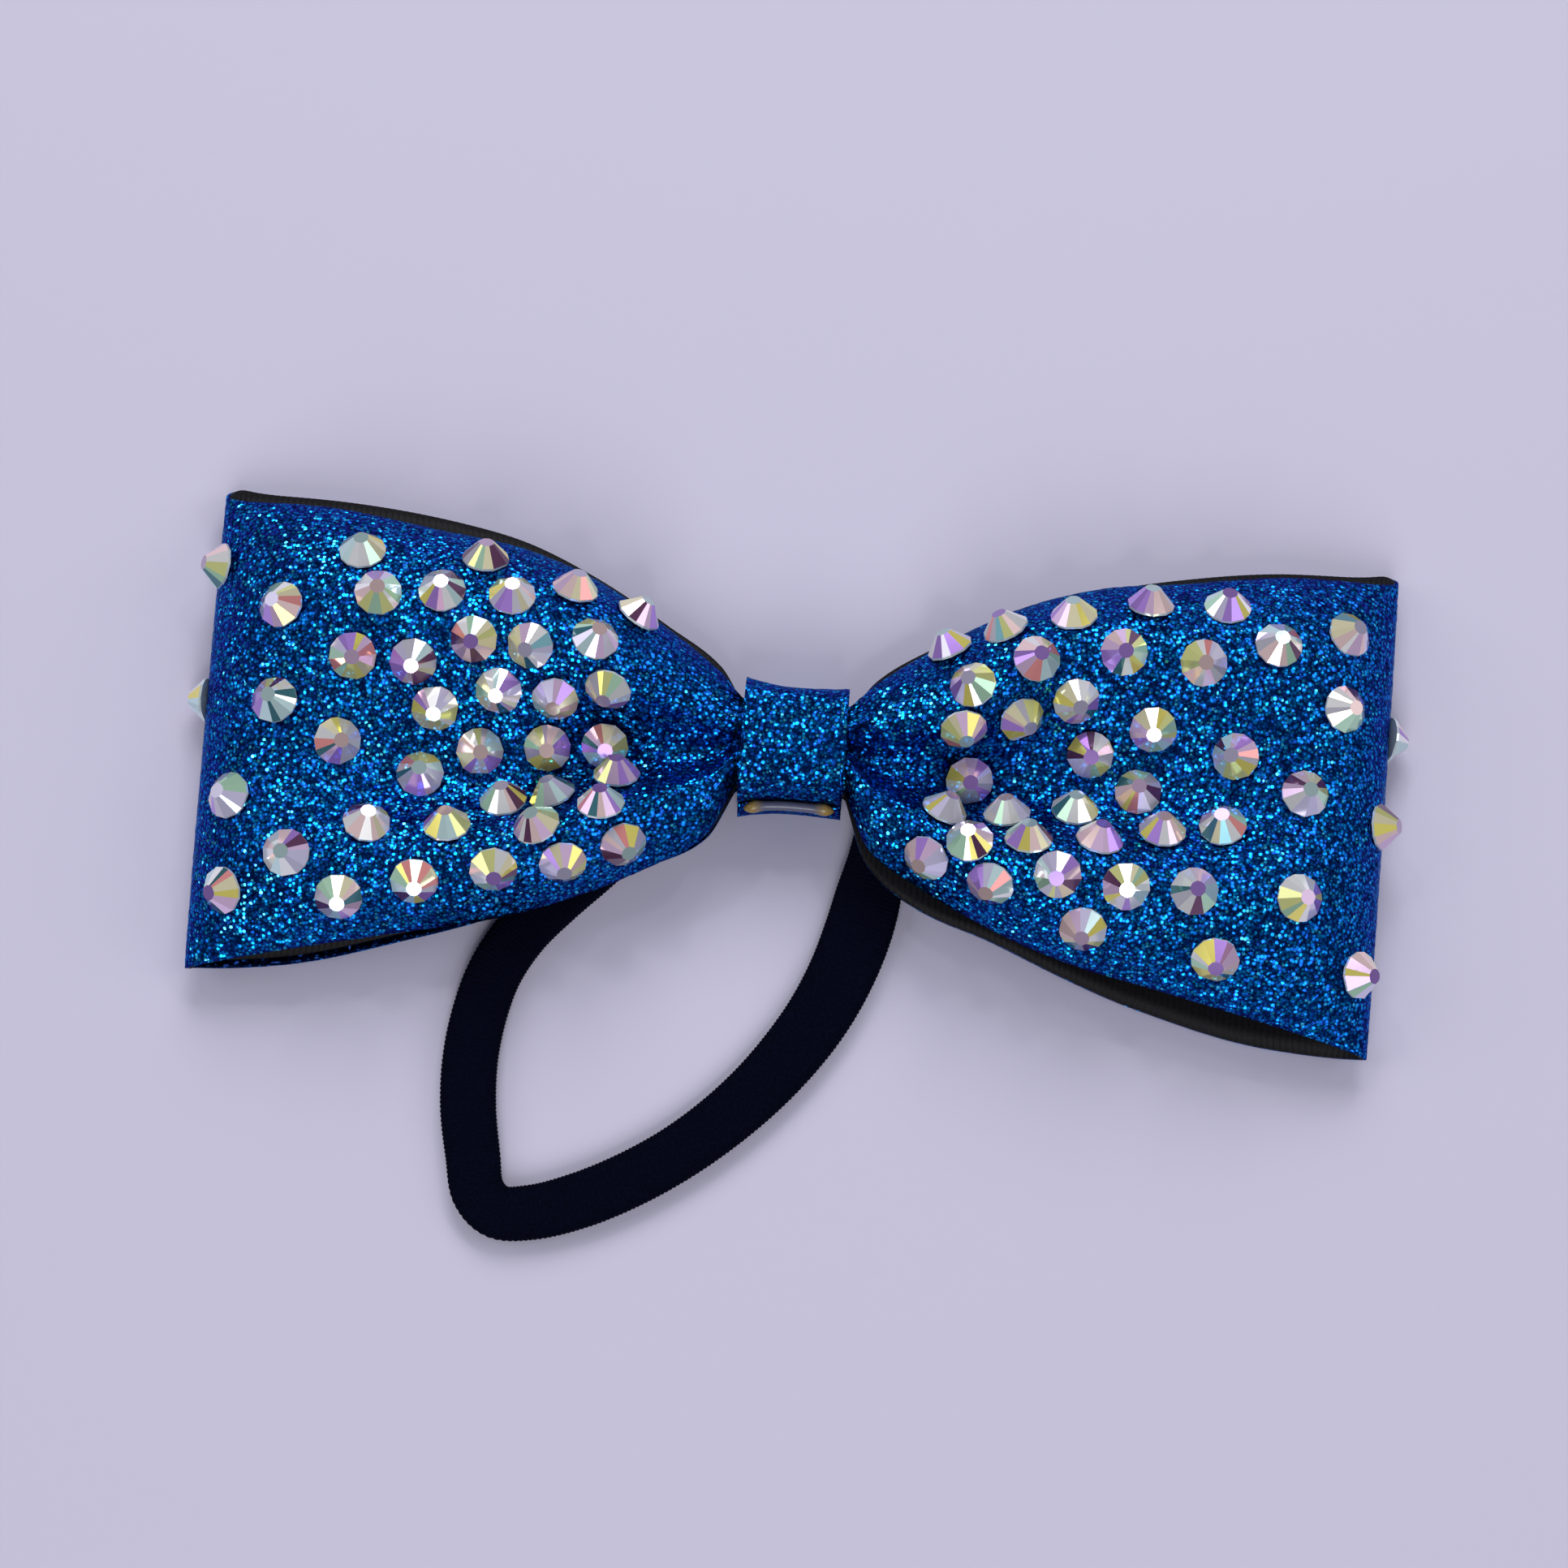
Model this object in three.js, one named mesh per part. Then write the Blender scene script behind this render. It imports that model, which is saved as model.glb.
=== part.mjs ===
// Cheer hair bow: one wide glitter ribbon, lined with black grosgrain, folded into two loops and pinched by a
// centre band, set with flat-back rhinestones, and tied to a knitted hair elastic that runs through the band.
// Millimetres. +X runs along the bow, +Y across it, +Z out of its front. It lies on its back on z = 0.
import * as THREE from "three";

// Ribbon
const LOOP_END = 90; // from the knot to the fold at the end of a loop
const END_LEAN = 1.3; // how much further out the upper corner of that fold lies, and further in the lower
const FOLD_FROM = 66; // the front starts to turn down to the fold
const FOLD_TO = 82; // the back lies flat again
const FOLD_Z = 4; // height of the fold itself
const PINCH = 8.2; // half of the gathered length, inside the band
const KNOT_Y = 0.8;
const PLY = 0.5;
const PLY_GAP = 0.3; // clearance between touching pieces
const STRIP_END = 0.4; // the strip's two ends butt behind the knot, this far from the middle
const FRONT_TOP = 21.5; // the crest of a loop
const END_TOP = 20; // the crest where the front starts to turn down
const PINCH_TOP = 15.2;
const PINCH_EDGE = 11.5; // the front's edges beside the knot
const EDGE_TOP = 9.8; // and further out
const PINCH_BOTTOM = 7.2;
// Where the long edges of the ribbon lie: y at these distances from the knot
const EDGE_AT = [8.2, 12, 20, 32, 44, 56, 72, 90];
const FRONT_HIGH = [8, 12, 18.1, 25.4, 29.7, 31.5, 33.8, 34.6];
const FRONT_LOW = [-5.3, -13.3, -18.6, -24.4, -28.5, -31.1, -34.6, -38.6];
// How deep the valley in the front is, at these distances from the knot
const VALLEY_AT = [8.2, 14, 20, 28, 44, 58, 66, 76, 88];
const VALLEY_DEPTH = [4, 5.2, 7.4, 11.2, 11.2, 9, 6.5, 2.5, 0];
const LOWER_WALL_POWER = 1.25; // above 1 the valley's lower wall starts steeper than its upper one
const LEFT = {
  sign: -1,
  valley: [-0.06, -0.19], // where across the ribbon its floor runs, near the knot and further out
  wall: 0.54, // how wide its lower wall is
  curlLow: 4, // how far the back's lower and upper edges curl up
  curlHigh: 1,
  backHigh: [8, 13.6, 19.2, 26.9, 32.8, 35.7, 37.6, 38],
  backLow: [-5.3, -13, -17.8, -23.4, -27.4, -31.2, -35.4, -37.9],
};
const RIGHT = {
  sign: 1,
  valley: [-0.1, -0.02],
  wall: 0.56,
  curlLow: 0.5,
  curlHigh: 2.5,
  backHigh: [8, 13.2, 19, 26.2, 30.9, 34, 36.9, 37.6],
  backLow: [-5.3, -15, -21.3, -25.2, -29.5, -33.3, -37, -38.4],
};
const FRONT_STEPS = 14;
const FOLD_STEPS = 10;
const BACK_STEPS = 8;
const STEP_GROWTH = 1.25; // steps lengthen away from the knot
const WIDTH_STEPS = 16;

// Centre band, across the knot: the outer line of its Y-Z section, from one cut end round to the other
const BAND_WIDTH = 15.6;
const BAND_THICK = 0.7;
const BAND_STEPS = 40;
const BAND_LINE = [
  [-7.8, 8.6], [-8.6, 5.2], [-7.6, 1.9], [-4.2, 0.4], [3, 0.4], [7, 1.4], [8.8, 5], [9.3, 9], [9.2, 12.6],
  [7.2, 15.7], [3, 16.8], [-2.6, 16.8], [-5.7, 15.6], [-7.3, 13.2], [-7.8, 10.9],
];
const BAND_COLUMNS = 5;
const BAND_FLARE = [0.12, 0.04]; // how much wider the knot is at the band's left and right edges
const BEAD_LENGTH = 14;
const BEAD_RADIUS = 0.95;
const BEAD_AT = [-8.5, 9.7];

// Thread wound round the pinched ribbon under the band: the outer line of its section
const THREAD_LENGTH = 5;
const THREAD_THICK = 0.4;
const THREAD_STEPS = 36;
const THREAD_LINE = [
  [0.2, 6.4], [6.6, 6.4], [7.9, 7.3], [7.9, 11.8], [6.2, 14.7], [3, 15.5],
  [-2.6, 15.5], [-5.2, 14.7], [-6.7, 12], [-6.7, 7.3], [-5.6, 6.4], [-0.2, 6.4],
];

// Hair elastic
const TUNNEL_Y = 0.6;
const TUNNEL_Z = 3.7;
const TUNNEL_DIAMETER = 4.6; // bunched round where it runs through the band
const STRAP_WIDTH = 8.4;
const STRAP_THICK = 3.6;
const COVER_WALL = 0.8;
const JOINT_LENGTH = 12;
const ELASTIC_STEPS = 56;
const ELASTIC_SIDES = 10;
// x, y, z, width: from the right mouth of the band, round the loop on the table, to the left mouth
const ELASTIC_ROUTE = [
  [6.3, 0.6, 3.7, 4.6], [9, 0.5, 3.7, 4.6], [12, -2, 3.5, 5.4], [13.6, -7, 2.9, 6.8], [13.7, -13, 2.2, 8.6],
  [13, -18.5, 1.85, 10], [11.8, -24.5, 1.85, 10.4], [9.8, -31, 1.85, 10.2], [6.9, -37.5, 1.85, 9.9],
  [3, -43.8, 1.85, 9.5], [-1.7, -49.8, 1.85, 9], [-7.2, -55.4, 1.85, 8.6], [-13, -60.2, 1.85, 8.4],
  [-19.4, -64.4, 1.85, 8.4], [-26.5, -68, 1.85, 8.4], [-33.4, -70.3, 1.85, 8.2], [-38.6, -70.6, 1.85, 8],
  [-41.6, -68, 1.85, 8], [-43, -62.5, 1.85, 8.2], [-44.4, -55.5, 1.85, 8.4], [-44.8, -48, 1.85, 8.4],
  [-44, -40.8, 1.85, 8.4], [-42.3, -34.6, 1.85, 8.4], [-39, -28.6, 1.85, 8.4], [-34.5, -23.4, 1.85, 8.2],
  [-29, -18, 1.9, 7.8], [-22.5, -11.8, 2.3, 6.8], [-16.5, -5.6, 2.9, 5.6], [-12, -1, 3.5, 4.8],
  [-9, 0.5, 3.7, 4.6], [-6.3, 0.6, 3.7, 4.6],
];

// Rhinestones: x, y of each stone on the front of a loop, or [turn in degrees round the end fold, y]
const STONE_DIAMETER = 7.1;
const STONE_TABLE = 2.3;
const STONE_GIRDLE = 0.5;
const STONE_HEIGHT = 3;
const STONE_FACETS = 8;
const STONE_SEAT = 0.3;
const SOLID_STONES_IN_THREE = 2; // of each three stones in the lists, this many are solids here
const DIMPLE = { from: 22, to: 32, halfWidth: 11 }; // where stones crowd on the steep walls, and none is
const LEFT_STONES = [
  [-67, 25], [-48.5, 25.5], [-78, 15.5], [-63.5, 18], [-54, 19], [-43.5, 19], [-34.5, 21.5], [-25, 19],
  [-66.5, 8.5], [-57.5, 8.5], [-48.5, 12], [-40, 11.5], [-30.5, 13], [-77.5, 1], [-54, 2.5], [-44.5, 5.5],
  [-36, 5], [-28, 6.5], [-68, -4], [-47, -3], [-55.5, -7.5], [-37, -1.5], [-28.5, 0], [-26, -6],
  [-42.5, -11], [-35, -10], [-27.5, -11.5], [-36.5, -15.5], [-83, -13.5], [-62, -16.5], [-50, -16],
  [-24, -16.5], [-73, -22], [-32.5, -20], [-42.5, -22], [-54, -24.5], [-65, -27.5], [-82.5, -27.5],
];
const LEFT_FOLD_STONES = [[71, 23.5], [95, 3.5]];
const RIGHT_STONES = [
  [22.5, 17.5], [30.5, 20.5], [40.5, 23], [52, 26], [63.5, 26.5], [71, 20.5], [82, 24], [26, 10.5],
  [35, 15], [48, 17.5], [60, 17], [33.5, 7], [41.5, 10.5], [53.5, 7.5], [81.5, 12], [66, 4], [25, 4.5],
  [26.5, -1.5], [44.5, 3.5], [52, -2], [76, -1.5], [23, -8], [32.5, -7.5], [42.5, -6], [27, -13],
  [35.5, -12], [46, -11], [55.5, -8.5], [64.5, -7], [21, -15], [30.5, -18.5], [40, -17], [50, -18],
  [60, -18], [75.5, -17.5], [44.5, -24], [64, -27],
];
const RIGHT_FOLD_STONES = [[60, -27], [71, -4], [96, 11]];

const smooth = (t) => THREE.MathUtils.smoothstep(t, 0, 1);
const mix = THREE.MathUtils.lerp;

// A smooth curve through values given at the distances in at.
function curve(at, values, d) {
  const last = at.length - 1;
  const x = THREE.MathUtils.clamp(d, at[0], at[last]);
  const slope = (i) => {
    const before = Math.max(i - 1, 0);
    const after = Math.min(i + 1, last);
    return (values[after] - values[before]) / (at[after] - at[before]);
  };
  const i = Math.min(at.findLastIndex((place) => place <= x), last - 1);
  const h = at[i + 1] - at[i];
  const t = (x - at[i]) / h;
  return (1 + 2 * t) * (1 - t) ** 2 * values[i] + t * (1 - t) ** 2 * h * slope(i)
    + t * t * (3 - 2 * t) * values[i + 1] + t * t * (t - 1) * h * slope(i + 1);
}

// y on the front or the back, v of the way from the middle of the ribbon to its edge.
function across(high, low, d, v) {
  const top = curve(EDGE_AT, high, d);
  const bottom = curve(EDGE_AT, low, d);
  return (top + bottom) / 2 + (v * (top - bottom)) / 2;
}

// Falls from 1 to 0 as a quarter of an ellipse between a distance and the end of the loop.
const quarter = (from, d) => Math.sqrt(Math.max(1 - (Math.max(d - from, 0) / (LOOP_END - from)) ** 2, 0));

// The front face: a crown that falls to the two edges, with a valley that runs out of the knot.
function frontZ(loop, d, v) {
  const out = smooth((d - 10) / 16);
  const crown = PINCH_TOP + (FRONT_TOP - PINCH_TOP) * smooth((d - PINCH) / 26)
    + (END_TOP - FRONT_TOP) * smooth((d - 40) / 26);
  const edge = mix(PINCH_EDGE, EDGE_TOP, smooth((d - PINCH) / 15));
  const fromFloor = v - mix(0.02, mix(...loop.valley, smooth((d - 26) / 16)), out);
  const upperWall = mix(0.42, 0.75, smooth((d - 20) / 24));
  const t = Math.min(Math.abs(fromFloor) / (fromFloor > 0 ? upperWall : mix(0.4, loop.wall, out)), 1);
  const valley = curve(VALLEY_AT, VALLEY_DEPTH, d) * (1 - smooth(fromFloor > 0 ? t : t ** LOWER_WALL_POWER));
  const z = edge + (crown - edge) * (1 - v ** 4) - valley;
  return FOLD_Z + (z - FOLD_Z) * quarter(FOLD_FROM, d);
}

// The back face: flat on the table, lifted towards the knot, with its long edges curled up.
function backZ(loop, d, v) {
  const curl = (v < 0 ? loop.curlLow : loop.curlHigh) * smooth((Math.abs(v) - 0.5) / 0.5);
  return PINCH_BOTTOM * smooth((54 - d) / 40)
    + curl * smooth((FOLD_TO - d) / 30) * smooth((d - 20) / 25)
    + FOLD_Z * (1 - quarter(FOLD_TO, d));
}

const lean = (d, v) => END_LEAN * v * smooth((d - 20) / 60);

// How far from the knot a place on a loop lies. s is 0 to 1 on the front, 1 to 2 round the fold and 2 to 3 on
// the back.
function reach(s) {
  if (s < 1) return FOLD_FROM * s;
  if (s >= 2) return FOLD_TO * (3 - s);
  return mix(s < 1.5 ? FOLD_FROM : FOLD_TO, LOOP_END, Math.sin(Math.PI * (s - 1)));
}

function foldY(loop, s, d, v) {
  const front = across(FRONT_HIGH, FRONT_LOW, d, v);
  return mix(front, across(loop.backHigh, loop.backLow, d, v), smooth((s - 1.25) / 0.5));
}

// A point on the outside of a loop. v is -1 at the lower edge of the ribbon and 1 at the upper.
function loopPoint(loop, s, v) {
  const d = reach(s);
  const z = s < 1.5 ? frontZ(loop, d, v) : backZ(loop, d, v);
  return new THREE.Vector3(loop.sign * (d + lean(d, v)), foldY(loop, s, d, v), z);
}

function loopNormal(loop, s, v) {
  const e = 1e-3;
  const along = loopPoint(loop, Math.min(s + e, 3), v).sub(loopPoint(loop, Math.max(s - e, 0), v));
  const sideways = loopPoint(loop, s, Math.min(v + e, 1)).sub(loopPoint(loop, s, Math.max(v - e, -1)));
  return along.cross(sideways).multiplyScalar(loop.sign).normalize();
}

// A closed solid between two grids of points, outer and inner, with the same rows and columns.
function slab(outer, inner) {
  const rows = outer.length;
  const columns = outer[0].length;
  const points = [...outer.flat(), ...inner.flat()];
  const index = [];
  const at = (side, i, j) => side * rows * columns + i * columns + j;
  const quad = (a, b, c, d) => index.push(a, b, c, a, c, d);
  for (let i = 0; i < rows - 1; i++) {
    for (let j = 0; j < columns - 1; j++) {
      quad(at(0, i, j), at(0, i + 1, j), at(0, i + 1, j + 1), at(0, i, j + 1));
      quad(at(1, i, j), at(1, i, j + 1), at(1, i + 1, j + 1), at(1, i + 1, j));
    }
    quad(at(0, i, 0), at(1, i, 0), at(1, i + 1, 0), at(0, i + 1, 0));
    quad(at(0, i, columns - 1), at(0, i + 1, columns - 1), at(1, i + 1, columns - 1), at(1, i, columns - 1));
  }
  for (let j = 0; j < columns - 1; j++) {
    quad(at(0, 0, j), at(0, 0, j + 1), at(1, 0, j + 1), at(1, 0, j));
    quad(at(0, rows - 1, j), at(1, rows - 1, j), at(1, rows - 1, j + 1), at(0, rows - 1, j + 1));
  }
  return new THREE.BufferGeometry().setFromPoints(points).setIndex(index);
}

// Where the strip is sampled: from its end behind the knot, round the left loop, over the front, and back.
function loopStations(loop) {
  const outwards = (steps, end) => Array.from({ length: steps + 1 }, (_, i) =>
    mix(PINCH, end, (i / steps) ** STEP_GROWTH) / end);
  const fold = Array.from({ length: FOLD_STEPS - 1 }, (_, i) => 1 + (i + 1) / FOLD_STEPS);
  const inwards = outwards(BACK_STEPS, FOLD_TO).reverse().map((s) => 3 - s);
  const stations = [...outwards(FRONT_STEPS, FOLD_FROM), ...fold, ...inwards, 3 - STRIP_END / FOLD_TO];
  return stations.map((s) => ({ loop, s }));
}

const stripStations = () => [...loopStations(LEFT).reverse(), ...loopStations(RIGHT)];

function stripGrid(depth) {
  return stripStations().map(({ loop, s }) =>
    Array.from({ length: WIDTH_STEPS + 1 }, (_, j) => {
      const v = (2 * j) / WIDTH_STEPS - 1;
      return loopPoint(loop, s, v).addScaledVector(loopNormal(loop, s, v), -depth);
    }));
}

const glitterFace = () => slab(stripGrid(0), stripGrid(PLY));
const grosgrainLining = () => slab(stripGrid(PLY + PLY_GAP), stripGrid(2 * PLY + PLY_GAP));

// A strip bent along a line in the Y-Z plane round the knot. Flare is how much wider it is at its two edges.
function bentStrip(outerLine, width, thick, steps, columns = 2, flare = [0, 0]) {
  const line = new THREE.CatmullRomCurve3(outerLine.map(([y, z]) => new THREE.Vector3(0, y, z)));
  const rowAt = (t, depth) => {
    const tangent = line.getTangent(t);
    const outward = new THREE.Vector3(0, tangent.z, -tangent.y);
    const p = line.getPoint(t).addScaledVector(outward, -depth);
    return Array.from({ length: columns }, (_, j) => {
      const u = (2 * j) / (columns - 1) - 1;
      const wider = 1 + flare[u < 0 ? 0 : 1] * u * u;
      return new THREE.Vector3((u * width) / 2, KNOT_Y + p.y * wider, p.z);
    });
  };
  const grid = (depth) => Array.from({ length: steps + 1 }, (_, i) => rowAt(i / steps, depth));
  return slab(grid(0), grid(thick));
}

const centreBand = () =>
  bentStrip(BAND_LINE, BAND_WIDTH, BAND_THICK, BAND_STEPS, BAND_COLUMNS, BAND_FLARE);
const pinchThread = () => bentStrip(THREAD_LINE, THREAD_LENGTH, THREAD_THICK, THREAD_STEPS);

function glueBead() {
  const bead = new THREE.CapsuleGeometry(BEAD_RADIUS, BEAD_LENGTH - 2 * BEAD_RADIUS, 3, 10);
  bead.rotateZ(Math.PI / 2);
  bead.scale(1, 0.8, 1);
  return bead.translate(0, BEAD_AT[0] + KNOT_Y, BEAD_AT[1]);
}

// Rings of points round the elastic's route, set in from its outside by depth.
function elasticRings(depth) {
  const line = new THREE.CatmullRomCurve3(ELASTIC_ROUTE.map(([x, y, z]) => new THREE.Vector3(x, y, z)));
  const widths = new THREE.CatmullRomCurve3(ELASTIC_ROUTE.map((p) => new THREE.Vector3(p[3], 0, 0)));
  const up = new THREE.Vector3(0, 0, 1);
  return Array.from({ length: ELASTIC_STEPS + 1 }, (_, i) => {
    const t = i / ELASTIC_STEPS;
    const centre = line.getPoint(t);
    const tangent = line.getTangent(t);
    const side = new THREE.Vector3().crossVectors(up, tangent).normalize();
    const top = new THREE.Vector3().crossVectors(tangent, side);
    const width = widths.getPoint(t).x;
    const open = smooth((width - TUNNEL_DIAMETER) / (STRAP_WIDTH - TUNNEL_DIAMETER));
    const thick = mix(TUNNEL_DIAMETER, STRAP_THICK, open);
    return Array.from({ length: ELASTIC_SIDES }, (_, j) => {
      const angle = (2 * Math.PI * (j + 0.5)) / ELASTIC_SIDES;
      return centre.clone()
        .addScaledVector(side, (width / 2 - depth) * Math.cos(angle))
        .addScaledVector(top, (thick / 2 - depth) * Math.sin(angle));
    });
  });
}

const closeRing = (ring) => [...ring, ring[0]];

// Skins a run of rings. A tube with a bore joins two runs at their ends, and a solid cord gets flat ends.
function tube(outer, inner) {
  const sides = outer[0].length;
  const points = inner ? [...outer.flat(), ...inner.flat()] : [...outer.flat()];
  const index = [];
  const skin = (start, flip) => {
    for (let i = 0; i < outer.length - 1; i++) {
      for (let j = 0; j < sides; j++) {
        const a = start + i * sides + j;
        const b = start + i * sides + ((j + 1) % sides);
        const faces = [a, b, b + sides, a, b + sides, a + sides];
        index.push(...(flip ? faces.reverse() : faces));
      }
    }
  };
  skin(0, false);
  const last = (outer.length - 1) * sides;
  if (inner) {
    const bore = outer.length * sides;
    skin(bore, true);
    for (let j = 0; j < sides; j++) {
      const k = (j + 1) % sides;
      index.push(j, bore + j, bore + k, j, bore + k, k);
      index.push(last + j, last + k, bore + last + k, last + j, bore + last + k, bore + last + j);
    }
  } else {
    for (let j = 1; j < sides - 1; j++) {
      index.push(0, j + 1, j);
      index.push(last, last + j, last + j + 1);
    }
  }
  return new THREE.BufferGeometry().setFromPoints(points).setIndex(index);
}

const elasticCover = () => tube(elasticRings(0), elasticRings(COVER_WALL));
const elasticCore = () => tube(elasticRings(COVER_WALL + PLY_GAP), null);

function elasticJoint() {
  const joint = new THREE.CylinderGeometry(TUNNEL_DIAMETER / 2, TUNNEL_DIAMETER / 2, JOINT_LENGTH, 16);
  return joint.rotateZ(Math.PI / 2).translate(0, TUNNEL_Y, TUNNEL_Z);
}

// A flat-back stone about +Z, its flat back on z = 0: girdle, crown facets and a small flat table.
function stone() {
  const girdle = STONE_DIAMETER / 2;
  const table = STONE_TABLE / 2;
  const profile = [[0, 0], [girdle, 0], [girdle, STONE_GIRDLE], [table, STONE_HEIGHT], [0, STONE_HEIGHT]];
  const turned = new THREE.LatheGeometry(profile.map(([r, z]) => new THREE.Vector2(r, z)), STONE_FACETS);
  return turned.rotateX(Math.PI / 2);
}

// s and v of the place on a loop's front that lies at x, y.
function frontPlace(loop, x, y) {
  let d = Math.abs(x);
  let s = 0;
  let v = 0;
  for (let pass = 0; pass < 5; pass++) {
    s = d < FOLD_FROM ? d / FOLD_FROM : 1 + Math.asin((d - FOLD_FROM) / (LOOP_END - FOLD_FROM)) / Math.PI;
    const middle = foldY(loop, s, d, 0);
    v = (y - middle) / (foldY(loop, s, d, 1) - middle);
    d = Math.abs(x) - lean(d, v);
  }
  return { s, v };
}

function foldPlace(loop, turn, y) {
  const s = 1 + turn / 180;
  const middle = foldY(loop, s, reach(s), 0);
  return { s, v: (y - middle) / (foldY(loop, s, reach(s), 1) - middle) };
}

// The stone stands on the highest part of the ribbon under its flat back.
function stonePose(loop, { s, v }) {
  const base = loopPoint(loop, s, v);
  const normal = loopNormal(loop, s, v);
  let high = 0;
  for (let ds = -0.06; ds <= 0.061; ds += 0.01) {
    for (let dv = -0.4; dv <= 0.41; dv += 0.04) {
      const sideways = THREE.MathUtils.clamp(v + dv, -1, 1);
      const near = loopPoint(loop, THREE.MathUtils.clamp(s + ds, 0, 3), sideways).sub(base);
      const lift = near.dot(normal);
      const away = Math.sqrt(Math.max(near.lengthSq() - lift * lift, 0));
      if (away < STONE_DIAMETER / 2 + 0.2) high = Math.max(high, lift);
    }
  }
  const position = base.addScaledVector(normal, high + STONE_SEAT);
  const quaternion = new THREE.Quaternion().setFromUnitVectors(new THREE.Vector3(0, 0, 1), normal);
  return { position, quaternion };
}

const bow = new THREE.Group();

function add(parent, name, geometry, material) {
  const mesh = new THREE.Mesh(geometry, material);
  mesh.name = name;
  parent.add(mesh);
  return mesh;
}

const glitter = new THREE.MeshStandardMaterial({ color: 0x0a5f96, roughness: 0.35, metalness: 0.7 });
const grosgrain = new THREE.MeshStandardMaterial({ color: 0x0b0b10, roughness: 0.85, metalness: 0 });
const glue = new THREE.MeshStandardMaterial({ color: 0x9a8b6a, roughness: 0.3, metalness: 0 });
const thread = new THREE.MeshStandardMaterial({ color: 0x101014, roughness: 0.9, metalness: 0 });
const knit = new THREE.MeshStandardMaterial({ color: 0x0a0a0d, roughness: 0.95, metalness: 0 });
const rubber = new THREE.MeshStandardMaterial({ color: 0xb9b4a4, roughness: 0.7, metalness: 0 });
const crystal = new THREE.MeshStandardMaterial({ color: 0xcfd6dc, roughness: 0.05, metalness: 0.3 });

add(bow, "ribbon_glitter_face", glitterFace(), glitter);
add(bow, "ribbon_grosgrain_lining", grosgrainLining(), grosgrain);
add(bow, "pinch_thread", pinchThread(), thread);
add(bow, "centre_band", centreBand(), glitter);
add(bow, "band_glue_bead", glueBead(), glue);

const elastic = new THREE.Group();
bow.add(elastic);
add(elastic, "elastic_cover", elasticCover(), knit);
add(elastic, "elastic_core", elasticCore(), rubber);
add(elastic, "elastic_joint", elasticJoint(), rubber);

function inDimple({ s, v }, loop) {
  const { x, y } = loopPoint(loop, s, v);
  return Math.abs(x) > DIMPLE.from && Math.abs(x) < DIMPLE.to && Math.abs(y) < DIMPLE.halfWidth;
}

function addStones(side, loop, frontStones, foldStones) {
  const places = [
    ...foldStones.map(([turn, y]) => foldPlace(loop, turn, y)),
    ...frontStones.map(([x, y]) => frontPlace(loop, x, y)),
  ];
  places.forEach((place, i) => {
    if (i % 3 >= SOLID_STONES_IN_THREE || inDimple(place, loop)) return;
    const mesh = add(bow, `stone_${side}_${String(i + 1).padStart(2, "0")}`, stone(), crystal);
    const pose = stonePose(loop, place);
    mesh.position.copy(pose.position);
    mesh.quaternion.copy(pose.quaternion);
  });
}
addStones("left", LEFT, LEFT_STONES, LEFT_FOLD_STONES);
addStones("right", RIGHT, RIGHT_STONES, RIGHT_FOLD_STONES);

export default bow;
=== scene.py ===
"""Cheer hair bow: the visual model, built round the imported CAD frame. Shapes are worked out in mm."""
import math

import bmesh
import bpy
import numpy as np
from mathutils import Matrix, Vector


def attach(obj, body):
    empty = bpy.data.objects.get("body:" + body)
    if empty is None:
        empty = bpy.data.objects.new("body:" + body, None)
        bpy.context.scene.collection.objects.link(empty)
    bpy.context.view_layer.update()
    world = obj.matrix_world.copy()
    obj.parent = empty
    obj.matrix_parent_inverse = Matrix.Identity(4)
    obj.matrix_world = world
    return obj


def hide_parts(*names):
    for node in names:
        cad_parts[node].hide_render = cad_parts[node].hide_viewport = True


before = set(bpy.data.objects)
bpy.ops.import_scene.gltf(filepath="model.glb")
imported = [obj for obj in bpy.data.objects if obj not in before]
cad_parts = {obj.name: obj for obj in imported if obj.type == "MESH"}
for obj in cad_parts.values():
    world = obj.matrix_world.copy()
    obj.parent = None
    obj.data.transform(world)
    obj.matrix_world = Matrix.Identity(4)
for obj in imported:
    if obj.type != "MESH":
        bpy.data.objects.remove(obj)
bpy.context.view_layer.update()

MM = 0.001

# The camera looks down on the bow, a little from the side of the hair elastic.
LOOK_AT = (-0.0012, -0.0021, 0.0)
CAMERA_AZIMUTH = 4.4
CAMERA_ELEVATION = 77.0
CAMERA_DISTANCE = 0.45
CAMERA_FIELD = 30.0

# Ribbon, as in the CAD source
LOOP_END = 90  # from the knot to the fold at the end of a loop
END_LEAN = 1.3  # how much further out the upper corner of that fold lies, and further in the lower
FOLD_FROM = 66  # the front starts to turn down to the fold
FOLD_TO = 82  # the back lies flat again
FOLD_Z = 4  # height of the fold itself
PINCH = 8.2  # the gathered ribbon starts to spread here
KNOT_Y = 0.8
STRIP_END = 0.4  # the strip's two ends stop this far from the middle, behind the knot
FRONT_TOP = 21.5  # height of a loop's crest
END_TOP = 20  # the crest where the front starts to turn down
PINCH_TOP = 15.2  # and beside the knot
PINCH_EDGE = 11.5  # height of the front's edges beside the knot
EDGE_TOP = 9.8  # and further out
PINCH_BOTTOM = 7.2  # height of the back beside the knot
# Where the long edges of the ribbon lie: y at these distances from the knot
EDGE_AT = [8.2, 12, 20, 32, 44, 56, 72, 90]
FRONT_HIGH = [8, 12, 18.1, 25.4, 29.7, 31.5, 33.8, 34.6]
FRONT_LOW = [-5.3, -13.3, -18.6, -24.4, -28.5, -31.1, -34.6, -38.6]
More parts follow.
